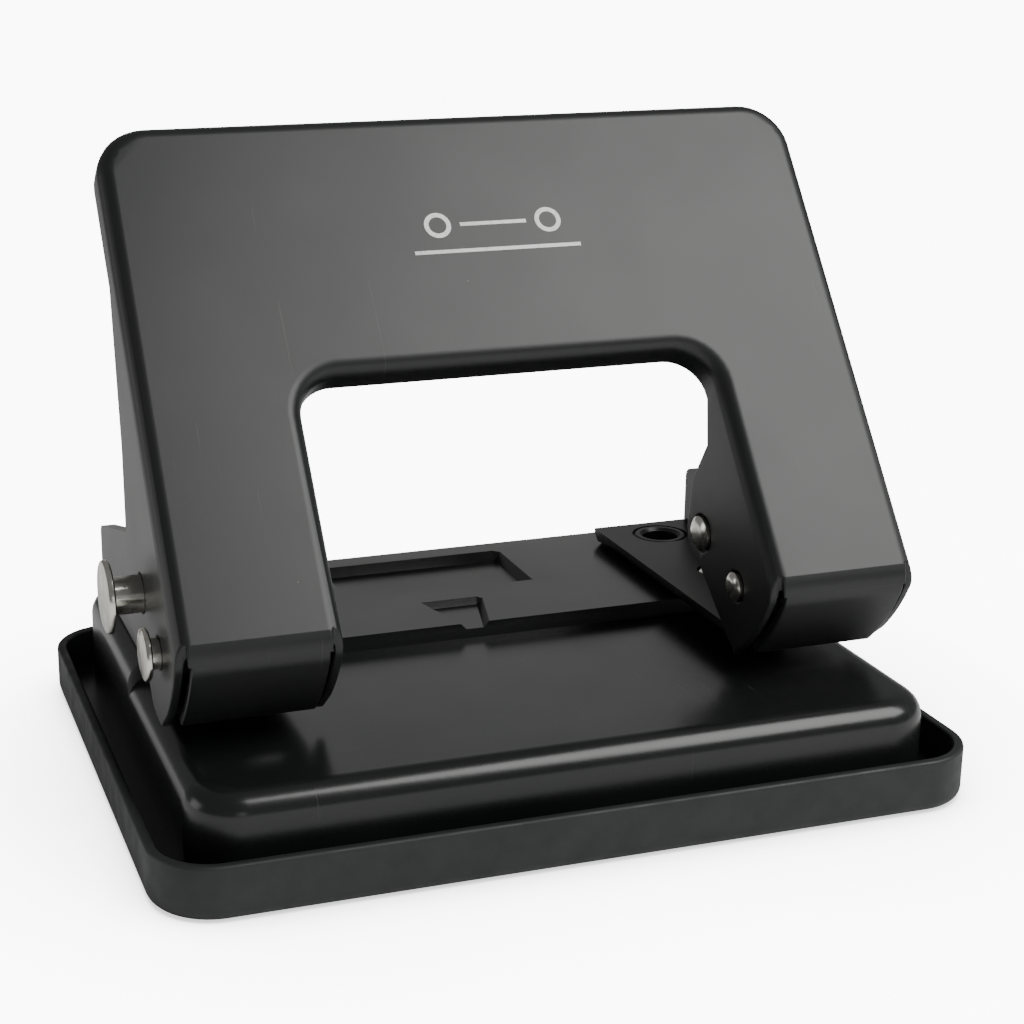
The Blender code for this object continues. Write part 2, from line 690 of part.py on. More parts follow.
def nose_front():
    """What lies in front of the nose."""
    return in_front(nose_curve(0.0, extra=NOSE_EXTRA)[1:])


def nose_under():
    """What lies under the nose's lower edge, which is square to its sheet."""
    far = -FAR
    outer, inner = Vector(nose_curve(0.0)[-1]), Vector(nose_curve(LEVER_SHEET)[-1])
    before, past = outer * 2 - inner, inner * 4 - outer * 3
    return [tuple(before), tuple(past), (past.x, far), (before.x, far)]


def flange_front():
    """What lies in front of the flanges below the fold, and under their tip."""
    tip = outer_rear_edge()[-1]
    under = (tip[0] + 1.2 * MM, tip[1] - 0.4 * MM)
    return in_front(nose_curve(FLANGE_INSET, LEAN)[:-1] + [tip, under])


def nose_back():
    """What the hollow of an arm must leave standing: all that is in front of the nose's rear."""
    far = -FAR
    root = face_point(1.0 * MM, LEVER_SHEET - 0.4 * MM)
    edge = [root] + nose_curve(LEVER_SHEET, extra=NOSE_EXTRA)[1:]
    return edge + [(edge[-1][0], far), (far, far), (far, root[1])]


def make_lever():
    """The pressed lever: face with window, turned edges, arms as channels, curled nose."""
    depth = 60.0 * MM
    lever = add_part("lever", face_block("lever", 0.0, BEND, 4, depth), BLACK_ENAMEL)
    hollow = add_cutter("lever_hollow", face_block("hollow", LEVER_SHEET, BEND - LEVER_SHEET, 2, depth))
    wide = LEVER_OUT + 5.0 * MM
    between = LEVER_OUT - LEVER_SHEET - 0.1 * MM
    nose_in = LEVER_IN + LEVER_SHEET + NOSE_SLIT
    nose_out = LEVER_OUT - LEVER_SHEET - NOSE_SLIT
    slit_middle = NOSE_SLIT / 2
    fronts = [add_cutter("nose_front", side_slab("nose_front", nose_front(), -wide, wide))]
    for side_name, side in SIDES.items():
        kept = side_slab("kept", nose_back(), side * nose_in, side * nose_out)
        cut(hollow, [add_cutter(f"{side_name}_nose_kept", kept)])
        zones = (
            ("under", nose_under(), nose_in - slit_middle, nose_out + slit_middle),
            ("outer", flange_front(), nose_out + slit_middle, wide),
            ("inner", flange_front(), LEVER_IN - 5.0 * MM, nose_in - slit_middle),
        )
        for zone, outline, x0, x1 in zones:
            mesh = side_slab(zone, outline, side * x0, side * x1)
            fronts.append(add_cutter(f"{side_name}_{zone}_front", mesh))
    cut(lever, [
        hollow,
        add_cutter("outer_trim", side_slab("outer_trim", behind(outer_rear_edge()), -wide, wide)),
        add_cutter("inner_trim", side_slab("inner_trim", behind(inner_rear_edge()), -between, between)),
    ])
    cut(lever, fronts)
    holes = []
    for kind, y, z, pin in (("pivot", PIVOT_Y, PIVOT_Z, PIVOT_PIN), ("drive", DRIVE_Y, DRIVE_Z, DRIVE_PIN)):
        bar = crosswise(kind, -wide, wide, y, z, pin + 2 * HOLE_FIT)
        holes.append(add_cutter(f"{kind}_hole", bar))
    cut(lever, holes)
    return lever


# ---------------------------------------------------------------- turned pieces

def turned(name, profile, place, finish):
    """A solid of revolution: (radius, along) points from one end to the other, turned about Z."""
    bm = bmesh.new()
    verts = [bm.verts.new((radius, 0.0, along)) for radius, along in profile]
    for first, second in zip(verts, verts[1:]):
        bm.edges.new((first, second))
    bmesh.ops.spin(bm, geom=bm.verts[:] + bm.edges[:], cent=(0, 0, 0), axis=(0, 0, 1),
                   angle=2 * math.pi, steps=SEGMENTS, use_merge=True)
    bmesh.ops.remove_doubles(bm, verts=bm.verts, dist=1e-7)
    bm.transform(place)
    return add_part(name, mesh_from(bm, name), finish)


def pin_place(side, y, z):
    """A pin's frame: its Z axis runs outwards along X from the part's middle plane."""
    return Matrix.Translation((0, y, z)) @ Matrix.Rotation(side * math.pi / 2, 4, "Y")


def make_pin(name, side, y, z, diameter, head, head_thick, proud):
    """A headed pin through one arm, its head proud of the outer flange, its tail peened."""
    shank = diameter / 2
    tail = LEVER_IN - PIN_TAIL
    top = LEVER_OUT + proud
    under = top - head_thick
    edge = 0.25 * MM
    profile = [
        (0.0, tail), (shank - PIN_CHAMFER, tail), (shank, tail + PIN_CHAMFER), (shank, under),
        (head / 2 - edge, under), (head / 2, under + edge), (head / 2, top - edge),
        (head / 2 - edge, top), (0.0, top),
    ]
    return turned(name, profile, pin_place(side, y, z), NICKEL)


def make_punch(side_name, side):
    """A punch: round shank with a notched tip, and a head slotted for the drive pin."""
    x = side * ARM_X
    tip = REAR_HEIGHT + GAP + PUNCH_RETRACT
    shoulder = DRIVE_Z - PUNCH_HEAD_BELOW
    top = DRIVE_Z + PUNCH_HEAD_ABOVE
    shank, head = PUNCH_DIAMETER / 2, PUNCH_HEAD / 2
    edge = 0.4 * MM
    profile = [
        (0.0, tip), (shank, tip), (shank, shoulder), (head, shoulder), (head, top - edge),
        (head - edge, top), (0.0, top),
    ]
    place = Matrix.Translation((x, PUNCH_Y, 0))
    punch = turned(f"{side_name}_punch", profile, place, TOOL_STEEL)
    half_wide = DRIVE_PIN / 2 + HOLE_FIT + (DRIVE_Y_DOWN - DRIVE_Y) / 2
    half_high = DRIVE_PIN / 2 + HOLE_FIT
    shift = half_wide - half_high
    ends = (arc((PUNCH_Y + shift, DRIVE_Z), half_high, -math.pi / 2, math.pi / 2, SLOT_STEPS)
            + arc((PUNCH_Y - shift, DRIVE_Z), half_high, math.pi / 2, 1.5 * math.pi, SLOT_STEPS))
    slot = side_slab("slot", ends, x - PUNCH_HEAD, x + PUNCH_HEAD)
    vee = [(PUNCH_Y - shank - MM, tip - MM), (PUNCH_Y + shank + MM, tip - MM), (PUNCH_Y, tip + PUNCH_NOTCH)]
    notch = side_slab("notch", vee, x - PUNCH_HEAD, x + PUNCH_HEAD)
    cut(punch, [add_cutter(f"{side_name}_head_slot", slot), add_cutter(f"{side_name}_tip_notch", notch)])
    return punch


def make_washer(name, side, low):
    """A washer round the punch, under or over the return spring."""
    high = low + SEAT_THICK
    bore = PUNCH_DIAMETER / 2 + HOLE_FIT
    rim = SEAT_DIAMETER / 2
    profile = [(bore, low), (rim, low), (rim, high), (bore, high), (bore, low)]
    return turned(name, profile, Matrix.Translation((side * ARM_X, PUNCH_Y, 0)), NICKEL)


def make_spring(side_name, side):
    """The return spring round the punch, its last half turns laid flat."""
    low = SEAT_LOW + SEAT_THICK + GAP + SPRING_WIRE / 2
    high = CAP_LOW - GAP - SPRING_WIRE / 2
    count = int(SPRING_TURNS * SPRING_POINTS)
    data = bpy.data.curves.new("spring", "CURVE")
    data.dimensions = "3D"
    data.bevel_depth = SPRING_WIRE / 2
    data.bevel_resolution = 2
    data.use_fill_caps = True
    spline = data.splines.new("POLY")
    spline.points.add(count)
    flat = SPRING_POINTS / 2
    for k, point in enumerate(spline.points):
        angle = 2 * math.pi * k / SPRING_POINTS
        rise = min(max((k - flat) / (count - 2 * flat), 0.0), 1.0)
        wind = SPRING_WIRE * 0.08 * (k / flat if k < flat else 1.0)
        point.co = (side * ARM_X + SPRING_DIAMETER / 2 * math.cos(angle),
                    PUNCH_Y + SPRING_DIAMETER / 2 * math.sin(angle),
                    low + wind + (high - low - SPRING_WIRE * 0.08) * rise, 1.0)
    holder = bpy.data.objects.new("spring", data)
    bpy.context.scene.collection.objects.link(holder)
    bpy.context.view_layer.update()
    seen = holder.evaluated_get(bpy.context.evaluated_depsgraph_get())
    mesh = bpy.data.meshes.new_from_object(seen)
    bpy.data.objects.remove(holder, do_unlink=True)
    bm = bmesh.new()
    bm.from_mesh(mesh)
    bpy.data.meshes.remove(mesh)
    bmesh.ops.remove_doubles(bm, verts=bm.verts, dist=1e-7)
    return add_part(f"{side_name}_return_spring", mesh_from(bm, "spring"), SPRING_STEEL, 50.0)


def make_rivet(side_name, side):
    """The solid rivet at the front of a bracket's foot, its head sunk in the foot."""
    seat = FOOT_TOP - RIVET_SINK
    head_low = seat + GAP
    head_top = head_low + RIVET_HEAD_THICK
    under = REAR_HEIGHT - BASE_SHEET - GAP
    tail = under - TAIL_THICK
    shank, head, foot = RIVET_SHANK / 2, RIVET_HEAD / 2, RIVET_HEAD / 2
    profile = [
        (0.0, tail), (foot - 0.3 * MM, tail), (foot, tail + 0.3 * MM), (foot, under), (shank, under),
        (shank, head_low), (head, head_low), (head, head_top - 0.2 * MM), (head - 0.3 * MM, head_top),
        (0.0, head_top),
    ]
    place = Matrix.Translation((side * ARM_X, STOP_Y + RIVET_Y, 0))
    return turned(f"{side_name}_foot_rivet", profile, place, NICKEL)


def make_eyelet(side_name, side):
    """The hollow eyelet at the rear of a bracket's foot."""
    under = REAR_HEIGHT - BASE_SHEET - GAP
    lip_low = FOOT_TOP - EYELET_SINK + GAP
    lip_top = lip_low + EYELET_LIP_THICK
    tail = under - TAIL_THICK
    bore, outer, lip = EYELET_BORE / 2, EYELET_OUTER / 2, EYELET_LIP / 2
    profile = [
        (bore, tail), (lip, tail), (lip, under), (outer, under), (outer, lip_low), (lip, lip_low),
        (lip, lip_top), (bore + 0.4 * MM, lip_top), (bore, lip_low), (bore, tail),
    ]
    place = Matrix.Translation((side * ARM_X, STOP_Y + EYELET_Y, 0))
    return turned(f"{side_name}_foot_eyelet", profile, place, BLACK_ENAMEL)


# ---------------------------------------------------------------- assembly

def hang_on(name, place, parts):
    """An empty on a joint's axis, with the parts that move about it as its children."""
    empty = bpy.data.objects.new(name, None)
    empty.location = place
    PARTS.objects.link(empty)
    bpy.context.view_layer.update()
    for part in parts:
        part.parent = empty
        part.matrix_parent_inverse = empty.matrix_world.inverted()


clear_scene()
PARTS = collection("hole_punch")
CUTTERS = collection("cutters")

make_tray()
moving = [make_lever()]
lifting = [make_base()]
for side_label, direction in SIDES.items():
    lifting.append(make_bracket(side_label, direction))
    lifting.append(make_washer(f"{side_label}_spring_seat", direction, SEAT_LOW))
    lifting.append(make_spring(side_label, direction))
    lifting.append(make_rivet(side_label, direction))
    lifting.append(make_eyelet(side_label, direction))
    moving.append(make_pin(f"{side_label}_pivot_pin", direction, PIVOT_Y, PIVOT_Z, PIVOT_PIN,
                           PIVOT_HEAD, PIVOT_HEAD_THICK, PIVOT_PROUD))
    moving.append(make_pin(f"{side_label}_drive_pin", direction, DRIVE_Y, DRIVE_Z, DRIVE_PIN,
                           DRIVE_HEAD, DRIVE_HEAD_THICK, DRIVE_PROUD))
    punch_part = make_punch(side_label, direction)
    cap_part = make_washer(f"{side_label}_spring_cap", direction, CAP_LOW)
    hang_on(f"{side_label}_punch_axis", (direction * ARM_X, PUNCH_Y, DRIVE_Z), [punch_part, cap_part])
hang_on("lever_pivot", (0, PIVOT_Y, PIVOT_Z), moving)
hang_on("base_lift", (0, 0, BASE_FLOOR), lifting)
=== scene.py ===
"""Looks of a two-hole desk punch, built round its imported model.

The lever, base, brackets and tray are pressed or moulded shells, the pins, rivets and punches are
turned, and the return springs are wound. Every piece sits where the model's own nodes are.
"""
import logging
import math
from dataclasses import dataclass, field
from enum import Enum
from typing import Callable, Sequence

import bpy
from bpy.types import Material, Node, NodeSocket, Object
from mathutils import Matrix, Vector

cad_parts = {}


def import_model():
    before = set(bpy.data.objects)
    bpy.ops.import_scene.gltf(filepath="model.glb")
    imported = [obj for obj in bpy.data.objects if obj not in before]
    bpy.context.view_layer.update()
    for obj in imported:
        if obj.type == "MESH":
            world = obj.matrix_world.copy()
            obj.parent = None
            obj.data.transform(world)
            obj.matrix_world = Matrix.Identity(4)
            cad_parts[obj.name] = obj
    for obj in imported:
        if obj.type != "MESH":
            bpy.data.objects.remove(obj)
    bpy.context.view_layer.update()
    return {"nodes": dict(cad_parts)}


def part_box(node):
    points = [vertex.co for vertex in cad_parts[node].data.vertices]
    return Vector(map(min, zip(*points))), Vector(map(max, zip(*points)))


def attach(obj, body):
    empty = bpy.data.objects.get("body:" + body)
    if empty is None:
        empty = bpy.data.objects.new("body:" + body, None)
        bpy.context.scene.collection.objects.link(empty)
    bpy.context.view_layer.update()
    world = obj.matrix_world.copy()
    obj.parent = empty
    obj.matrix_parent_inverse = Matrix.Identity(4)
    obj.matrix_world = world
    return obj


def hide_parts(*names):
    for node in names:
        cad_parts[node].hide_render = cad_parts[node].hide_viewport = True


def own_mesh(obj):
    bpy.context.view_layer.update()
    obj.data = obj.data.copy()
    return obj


LOG = logging.getLogger("hole_punch")
MM = 0.001

Colour = tuple[float, float, float, float]
Profile = Sequence[tuple[float, float]]


class Side(Enum):
    """The two arms of the punch, with the sign of X on each."""

    LEFT = -1.0
    RIGHT = 1.0

    def node(self, name: str) -> str:
        """The name of this side's copy of a node."""
        return f"{self.name.lower()}_{name}"


# ---------------------------------------------------------------- finishes

class Graph:
    """A material's node tree, with short ways to add the nodes that the finishes share."""

    def __init__(self, name: str) -> None:
        """Start a material with one Principled shader.

        Args:
            name: the material's name.
        """
        self.material: Material = bpy.data.materials.new(name)
        self.material.use_nodes = True
        self.tree = self.material.node_tree
        self.shader: Node = self.tree.nodes["Principled BSDF"]
        self.place: Node = self.tree.nodes.new("ShaderNodeTexCoord")

    def add(self, kind: str, **sockets: object) -> Node:
        """Add a node.

        Args:
            kind: the node type without its ShaderNode prefix.
            **sockets: values or sockets for its inputs, by name with _ for a space.

        Returns:
            The new node.
        """
        node = self.tree.nodes.new(f"ShaderNode{kind}")
        for key, value in sockets.items():
            self.put(node, key.replace("_", " "), value)
        return node

    def put(self, node: Node, key: str, value: object) -> None:
        """Set or link one input of a node.

        Args:
            node: the node that has the input.
            key: the input's name.
            value: a socket to link from, or a plain value.
        """
        if isinstance(value, NodeSocket):
            self.tree.links.new(value, node.inputs[key])
        else:
            node.inputs[key].default_value = value

    def stretched(self, scale: tuple[float, float, float], turn: float = 0.0) -> NodeSocket:
        """Object coordinates, stretched along the axes and turned about Z.

        Args:
            scale: the factor along each axis.
            turn: the turn in radians.

        Returns:
            The mapped vector.
        """
        mapping = self.add("Mapping", Vector=self.place.outputs["Object"])
        mapping.inputs["Scale"].default_value = scale
        mapping.inputs["Rotation"].default_value = (0.0, turn, turn)
        return mapping.outputs["Vector"]

    def noise(self, size: float, detail: float = 2.0, vector: NodeSocket | None = None) -> NodeSocket:
        """Noise with patches of about the given size.

        Args:
            size: the size of a patch in metres.
            detail: the number of finer octaves.
            vector: the coordinates, or None for the plain object's.

        Returns:
            The noise value, about 0.5 on average.
        """
        node = self.add("TexNoise", Vector=vector or self.place.outputs["Object"],
                        Scale=1.0 / size, Detail=detail)
        return node.outputs["Fac"]

    def ramp(self, value: NodeSocket, low: float, high: float, start: float = 0.0,
             end: float = 1.0) -> NodeSocket:
        """Map a value from low..high to start..end, held at the ends.

        Args:
            value: what is mapped.
            low: the value that gives start.
            high: the value that gives end.
            start: the result at low.
            end: the result at high.

        Returns:
            The mapped value.
        """
        node = self.add("MapRange", Value=value)
        for key, number in (("From Min", low), ("From Max", high), ("To Min", start), ("To Max", end)):
            node.inputs[key].default_value = number
        return node.outputs["Result"]

    def blend(self, factor: NodeSocket, first: object, second: object) -> NodeSocket:
        """Mix two colours.

        Args:
            factor: 0 for the first, 1 for the second.
            first: a colour or a socket.
            second: a colour or a socket.

        Returns:
            The mixed colour.
        """
        node = self.add("Mix")
        node.data_type = "RGBA"
        self.tree.links.new(factor, node.inputs["Factor"])
        colours = [socket for socket in node.inputs if socket.type == "RGBA"]
        for socket, value in zip(colours, (first, second)):
            if isinstance(value, NodeSocket):
                self.tree.links.new(value, socket)
            else:
                socket.default_value = value
        return next(socket for socket in node.outputs if socket.type == "RGBA")

    def maths(self, operation: str, first: NodeSocket, second: object) -> NodeSocket:
        """Combine two values.

        Args:
            operation: a Math node operation.
            first: the first value.
            second: a number or a socket.

        Returns:
            The result.
        """
        node = self.add("Math")
        node.operation = operation
        self.tree.links.new(first, node.inputs[0])
        if isinstance(second, NodeSocket):
            self.tree.links.new(second, node.inputs[1])
        else:
            node.inputs[1].default_value = second
        return node.outputs["Value"]

    def specks(self, spacing: float, size: float, share: float) -> NodeSocket:
        """Small round specks, scattered so that only some of their places hold one.

        Args:
            spacing: the distance between places in metres.
            size: the radius of a speck in metres.
            share: the share of the places that stay empty.

        Returns:
            1 in a speck and 0 outside.
        """
        cells = self.add("TexVoronoi", Vector=self.place.outputs["Object"], Scale=1.0 / spacing)
        reach = size / spacing
        dot = self.ramp(cells.outputs["Distance"], reach * 0.6, reach, 1.0, 0.0)
        pick = self.add("SeparateColor", Color=cells.outputs["Color"])
        held = self.maths("GREATER_THAN", pick.outputs["Red"], share)
        return self.maths("MULTIPLY", dot, held)

    def bump(self, height: NodeSocket, depth: float, under: NodeSocket | None = None) -> NodeSocket:
        """A bumped normal.

        Args:
            height: the height from 0 to 1.
            depth: the height of 1 in metres.
            under: a normal to bump further, or None.

        Returns:
            The new normal.
        """
        node = self.add("Bump", Height=height, Distance=depth)
        if under is not None:
            self.put(node, "Normal", under)
        return node.outputs["Normal"]

    def finish(self, **sockets: object) -> Material:
        """Set the shader's inputs.

        Args:
            **sockets: values or sockets for the shader's inputs.

        Returns:
            The finished material.
        """
        for key, value in sockets.items():
            self.put(self.shader, key.replace("_", " "), value)
        return self.material


@dataclass(frozen=True)
class Enamel:
    """Black stoving enamel on steel: satin, faintly uneven, with dust and hairline scratches."""

    name: str = "black_enamel"
    colour: Colour = (0.008, 0.0085, 0.009, 1.0)
    haze: Colour = (0.012, 0.0125, 0.0125, 1.0)
    dust: Colour = (0.22, 0.22, 0.21, 1.0)
    roughness: tuple[float, float] = (0.38, 0.41)
    scratch_share: float = 0.10

    def build(self) -> Material:
        """Make the enamel's material."""
        graph = Graph(self.name)
        cloud = graph.noise(26 * MM, 2.0)
        colour = graph.blend(graph.ramp(cloud, 0.35, 0.7), self.colour, self.haze)
        dust = graph.specks(3.4 * MM, 0.10 * MM, 0.93)
        long_scratch = graph.noise(1.0, 1.0, graph.stretched((1900.0, 60.0, 45.0), 0.5))
        hairline = graph.ramp(long_scratch, 0.73, 0.75, 0.0, self.scratch_share)
        patches = graph.ramp(graph.noise(21 * MM, 1.0), 0.55, 0.62)
        hairline = graph.maths("MULTIPLY", hairline, patches)
        marks = graph.maths("MAXIMUM", graph.maths("MULTIPLY", dust, 0.55), hairline)
        colour = graph.blend(marks, colour, self.dust)
        low, high = self.roughness
        roughness = graph.ramp(graph.noise(16 * MM, 3.0), 0.3, 0.75, low, high)
        roughness = graph.maths("ADD", roughness, graph.maths("MULTIPLY", marks, 0.3))
        peel = graph.bump(graph.noise(1.1 * MM, 2.0), 0.006 * MM)
        wave = graph.bump(graph.noise(24 * MM, 1.0), 0.04 * MM, peel)
        return graph.finish(Base_Color=colour, Roughness=roughness, Normal=wave)


@dataclass(frozen=True)
class Plastic:
    """Soft black plastic: matt, finely grained, with pale dust caught on it."""

    name: str = "black_plastic"
    colour: Colour = (0.013, 0.0137, 0.0145, 1.0)
    bloom: Colour = (0.020, 0.021, 0.022, 1.0)
    dust: Colour = (0.30, 0.30, 0.30, 1.0)

    def build(self) -> Material:
        """Make the plastic's material."""
        graph = Graph(self.name)
        cloud = graph.noise(9 * MM, 5.0)
        colour = graph.blend(graph.ramp(cloud, 0.35, 0.75), self.colour, self.bloom)
        dust = graph.specks(2.4 * MM, 0.11 * MM, 0.90)
        colour = graph.blend(graph.maths("MULTIPLY", dust, 0.4), colour, self.dust)
        roughness = graph.ramp(graph.noise(3 * MM, 3.0), 0.3, 0.7, 0.48, 0.62)
        grain = graph.bump(graph.noise(0.35 * MM, 2.0), 0.012 * MM)
        swell = graph.bump(graph.noise(18 * MM, 1.0), 0.25 * MM, grain)
        return graph.finish(Base_Color=colour, Roughness=roughness, Normal=swell)


@dataclass(frozen=True)
class Metal:
    """Bare or plated metal, with the fine marks of the tool that turned it."""

    name: str
    colour: Colour
    stain: Colour
    roughness: tuple[float, float]
    lay: tuple[float, float, float]

    def build(self) -> Material:
        """Make the metal's material."""
        graph = Graph(self.name)
        marks = graph.noise(1.0, 2.0, graph.stretched(self.lay))
        cloud = graph.noise(2.2 * MM, 4.0)
        colour = graph.blend(graph.ramp(cloud, 0.45, 0.8), self.colour, self.stain)
        low, high = self.roughness
        roughness = graph.ramp(cloud, 0.3, 0.8, low, high)
        turned_marks = graph.bump(marks, 0.004 * MM)
        return graph.finish(Base_Color=colour, Metallic=1.0, Roughness=roughness, Normal=turned_marks)


@dataclass(frozen=True)
class Print:
    """White pad print on the enamel, slightly worn."""

    name: str = "white_print"
    colour: Colour = (0.95, 0.96, 0.95, 1.0)
    worn: Colour = (0.70, 0.71, 0.70, 1.0)

    def build(self) -> Material:
        """Make the print's material."""
        graph = Graph(self.name)
        cloud = graph.noise(0.5 * MM, 3.0)
        colour = graph.blend(graph.ramp(cloud, 0.5, 0.75), self.colour, self.worn)
        roughness = graph.ramp(cloud, 0.3, 0.7, 0.4, 0.55)
        return graph.finish(Base_Color=colour, Roughness=roughness)


@dataclass(frozen=True)
class Paper:
    """The pale sweep that the punch stands on. It glows for the camera, and its glow carries a painted
    contact shadow near the punch.
    """

    name: str = "pale_sweep"
    colour: Colour = (0.90, 0.90, 0.90, 1.0)
    glow: float = 11.0
    spill: float = 0.03
    shade_reach: float = 45 * MM

    def build(self) -> Material:
        """Make the sweep's material: a glow dimmed by a painted contact shadow near the punch."""
        graph = Graph(self.name)
        grain = graph.ramp(graph.noise(2 * MM, 2.0), 0.3, 0.7, 0.82, 0.88)
        rays = graph.add("LightPath")
        # Painted contact shadow: ambient occlusion within shade_reach of the punch darkens the glow.
        contact_shadow = graph.add("AmbientOcclusion", Distance=self.shade_reach)
        shade = graph.ramp(contact_shadow.outputs["AO"], 0.35, 1.0, 0.12, 1.0)
        # The glow is at full strength for camera rays and at the spill share for all other rays.
        seen = graph.ramp(rays.outputs["Is Camera Ray"], 0.0, 1.0, self.spill, 1.0)
        glow = graph.maths("MULTIPLY", seen, shade)
        glow = graph.maths("MULTIPLY", glow, self.glow)
        return graph.finish(Base_Color=self.colour, Roughness=grain, Emission_Strength=glow,
                            Emission_Color=self.colour)


@dataclass
class Finishes:
    """Every finish of the punch, built once."""

    enamel: Material = field(default_factory=lambda: Enamel().build())
    gloss: Material = field(default_factory=lambda: Enamel(
        name="glossy_black_enamel", roughness=(0.22, 0.27)).build())
    plastic: Material = field(default_factory=lambda: Plastic().build())
    nickel: Material = field(default_factory=lambda: Metal(
        "nickel_plate", (0.72, 0.70, 0.64, 1.0), (0.46, 0.43, 0.37, 1.0), (0.16, 0.30),
        (5200.0, 90.0, 90.0)).build())
    tool_steel: Material = field(default_factory=lambda: Metal(
        "tool_steel", (0.46, 0.46, 0.47, 1.0), (0.27, 0.26, 0.25, 1.0), (0.22, 0.38),
        (90.0, 90.0, 4800.0)).build())
    spring_steel: Material = field(default_factory=lambda: Metal(
        "spring_steel", (0.40, 0.40, 0.42, 1.0), (0.22, 0.21, 0.21, 1.0), (0.25, 0.42),
        (900.0, 900.0, 900.0)).build())
    print_white: Material = field(default_factory=lambda: Print().build())


# ---------------------------------------------------------------- bench

def deselect() -> None:
    """Leave nothing selected."""
    bpy.ops.object.select_all(action="DESELECT")


def work_on(piece: Object) -> None:
    """Make a piece the only selected and active object.

    Args:
        piece: the object to work on.
    """
    deselect()
    piece.select_set(True)
    bpy.context.view_layer.objects.active = piece


def in_edit_mode(piece: Object, job: Callable[[], None]) -> None:
    """Run mesh operators on a whole piece in edit mode.

    Args:
        piece: the object to edit.
        job: what calls the operators.
    """
    work_on(piece)
    bpy.ops.object.mode_set(mode="EDIT")
    bpy.ops.mesh.select_mode(type="VERT")
    bpy.ops.mesh.select_all(action="SELECT")
    job()
    bpy.ops.object.mode_set(mode="OBJECT")


def pick(piece: Object, kind: str, test: Callable[[object], bool]) -> None:
    """Select the elements of one kind that pass a test, and nothing else.

    Args:
        piece: the object, in object mode.
        kind: "VERT", "EDGE" or "FACE".
        test: says whether an element is wanted.
    """
    mesh = piece.data
    for group in (mesh.polygons, mesh.edges, mesh.vertices):
        group.foreach_set("select", [False] * len(group))
    group = {"VERT": mesh.vertices, "EDGE": mesh.edges, "FACE": mesh.polygons}[kind]
    for item in group:
        item.select = test(item)


def edit_picked(piece: Object, kind: str, test: Callable[[object], bool],
                job: Callable[[], None]) -> None:
    """Run mesh operators on the elements that pass a test.

    Args:
        piece: the object to edit.
        kind: "VERT", "EDGE" or "FACE".
        test: says whether an element is wanted.
        job: what calls the operators.
    """
    work_on(piece)
    bpy.ops.object.mode_set(mode="EDIT")
    bpy.ops.mesh.select_mode(type=kind)
    bpy.ops.object.mode_set(mode="OBJECT")
    pick(piece, kind, test)
    bpy.ops.object.mode_set(mode="EDIT")
    job()
    bpy.ops.object.mode_set(mode="OBJECT")


def settle(piece: Object, place: Matrix | None = None, smooth: float = 35.0) -> Object:
    """Put a piece's place in its mesh and shade it.

    Args:
        piece: the finished object.
        place: where it goes, or None to keep it.
        smooth: the angle in degrees above which an edge stays sharp.

    Returns:
        The same object, at the origin.
    """
    work_on(piece)
    if place is not None:
        piece.matrix_world = place @ piece.matrix_world
    bpy.ops.object.transform_apply(location=True, rotation=True, scale=True)
    bpy.ops.object.shade_smooth_by_angle(angle=math.radians(smooth))
    return piece


def dress(piece: Object, material: Material, body: str, slot: str, *nodes: str) -> Object:
    """Give a piece its material, its body and the nodes that it stands for.

    Args:
        piece: the finished object.
        material: its material.
        body: the body that it rides on.
        slot: the record's material slot.
        *nodes: the model's nodes that it replaces.

    Returns:
        The same object.
    """
    piece.data.materials.clear()
    piece.data.materials.append(material)
    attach(piece, body)
    if nodes:
        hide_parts(*nodes)
    LOG.info("%s rides on %s with %d faces", piece.name, body, len(piece.data.polygons))
    return piece


def apply_modifier(piece: Object, kind: str, **settings: object) -> None:
    """Add a modifier and apply it.

    Args:
        piece: the object to change.
        kind: the modifier's type.
        **settings: its settings.
    """
    work_on(piece)
    step = piece.modifiers.new(kind.lower(), kind)
    for key, value in settings.items():
        setattr(step, key, value)
    bpy.ops.object.modifier_apply(modifier=step.name)


def merged_copy(node: Object, name: str, weld: float) -> Object:
    """A copy of a model node with its loose triangles joined into clean faces.

    Args:
        node: the model's object.
        name: the copy's name.
        weld: how close points are joined, in metres.

    Returns:
        The copy, ready for modifiers.
    """
    piece = bpy.data.objects.new(name, node.data.copy())
    piece.matrix_world = node.matrix_world.copy()
    bpy.context.scene.collection.objects.link(piece)

    def clean() -> None:
        """Join doubles and flat neighbours."""
        bpy.ops.mesh.remove_doubles(threshold=weld)
        bpy.ops.mesh.dissolve_degenerate(threshold=weld)
        bpy.ops.mesh.dissolve_limited(angle_limit=math.radians(0.6))

    in_edit_mode(piece, clean)
    bpy.ops.mesh.customdata_custom_splitnormals_clear()
    return piece


def pressed_copy(node: Object, name: str, edge: float, weld: float, segments: int = 2,
                 held: bool = True) -> Object:
    """A merged copy of a sheet-metal node with its cut edges broken.

    Args:
        node: the model's object.
        name: the copy's name.
        edge: the width of the broken edges in metres.
        weld: how close points are joined, in metres.
        segments: the number of steps across a broken edge.
        held: whether short edges keep the broken edges narrower.

    Returns:
        The copy.
    """
    piece = merged_copy(node, name, weld)
    if edge > 0.0:
        apply_modifier(piece, "BEVEL", width=edge, segments=segments, limit_method="ANGLE",
                       angle_limit=math.radians(40.0), use_clamp_overlap=held,
                       miter_outer="MITER_SHARP" if held else "MITER_ARC")
    apply_modifier(piece, "TRIANGULATE", min_vertices=5)
    settle(piece, smooth=30.0)
    apply_modifier(piece, "WEIGHTED_NORMAL", keep_sharp=True, weight=60)
    return piece


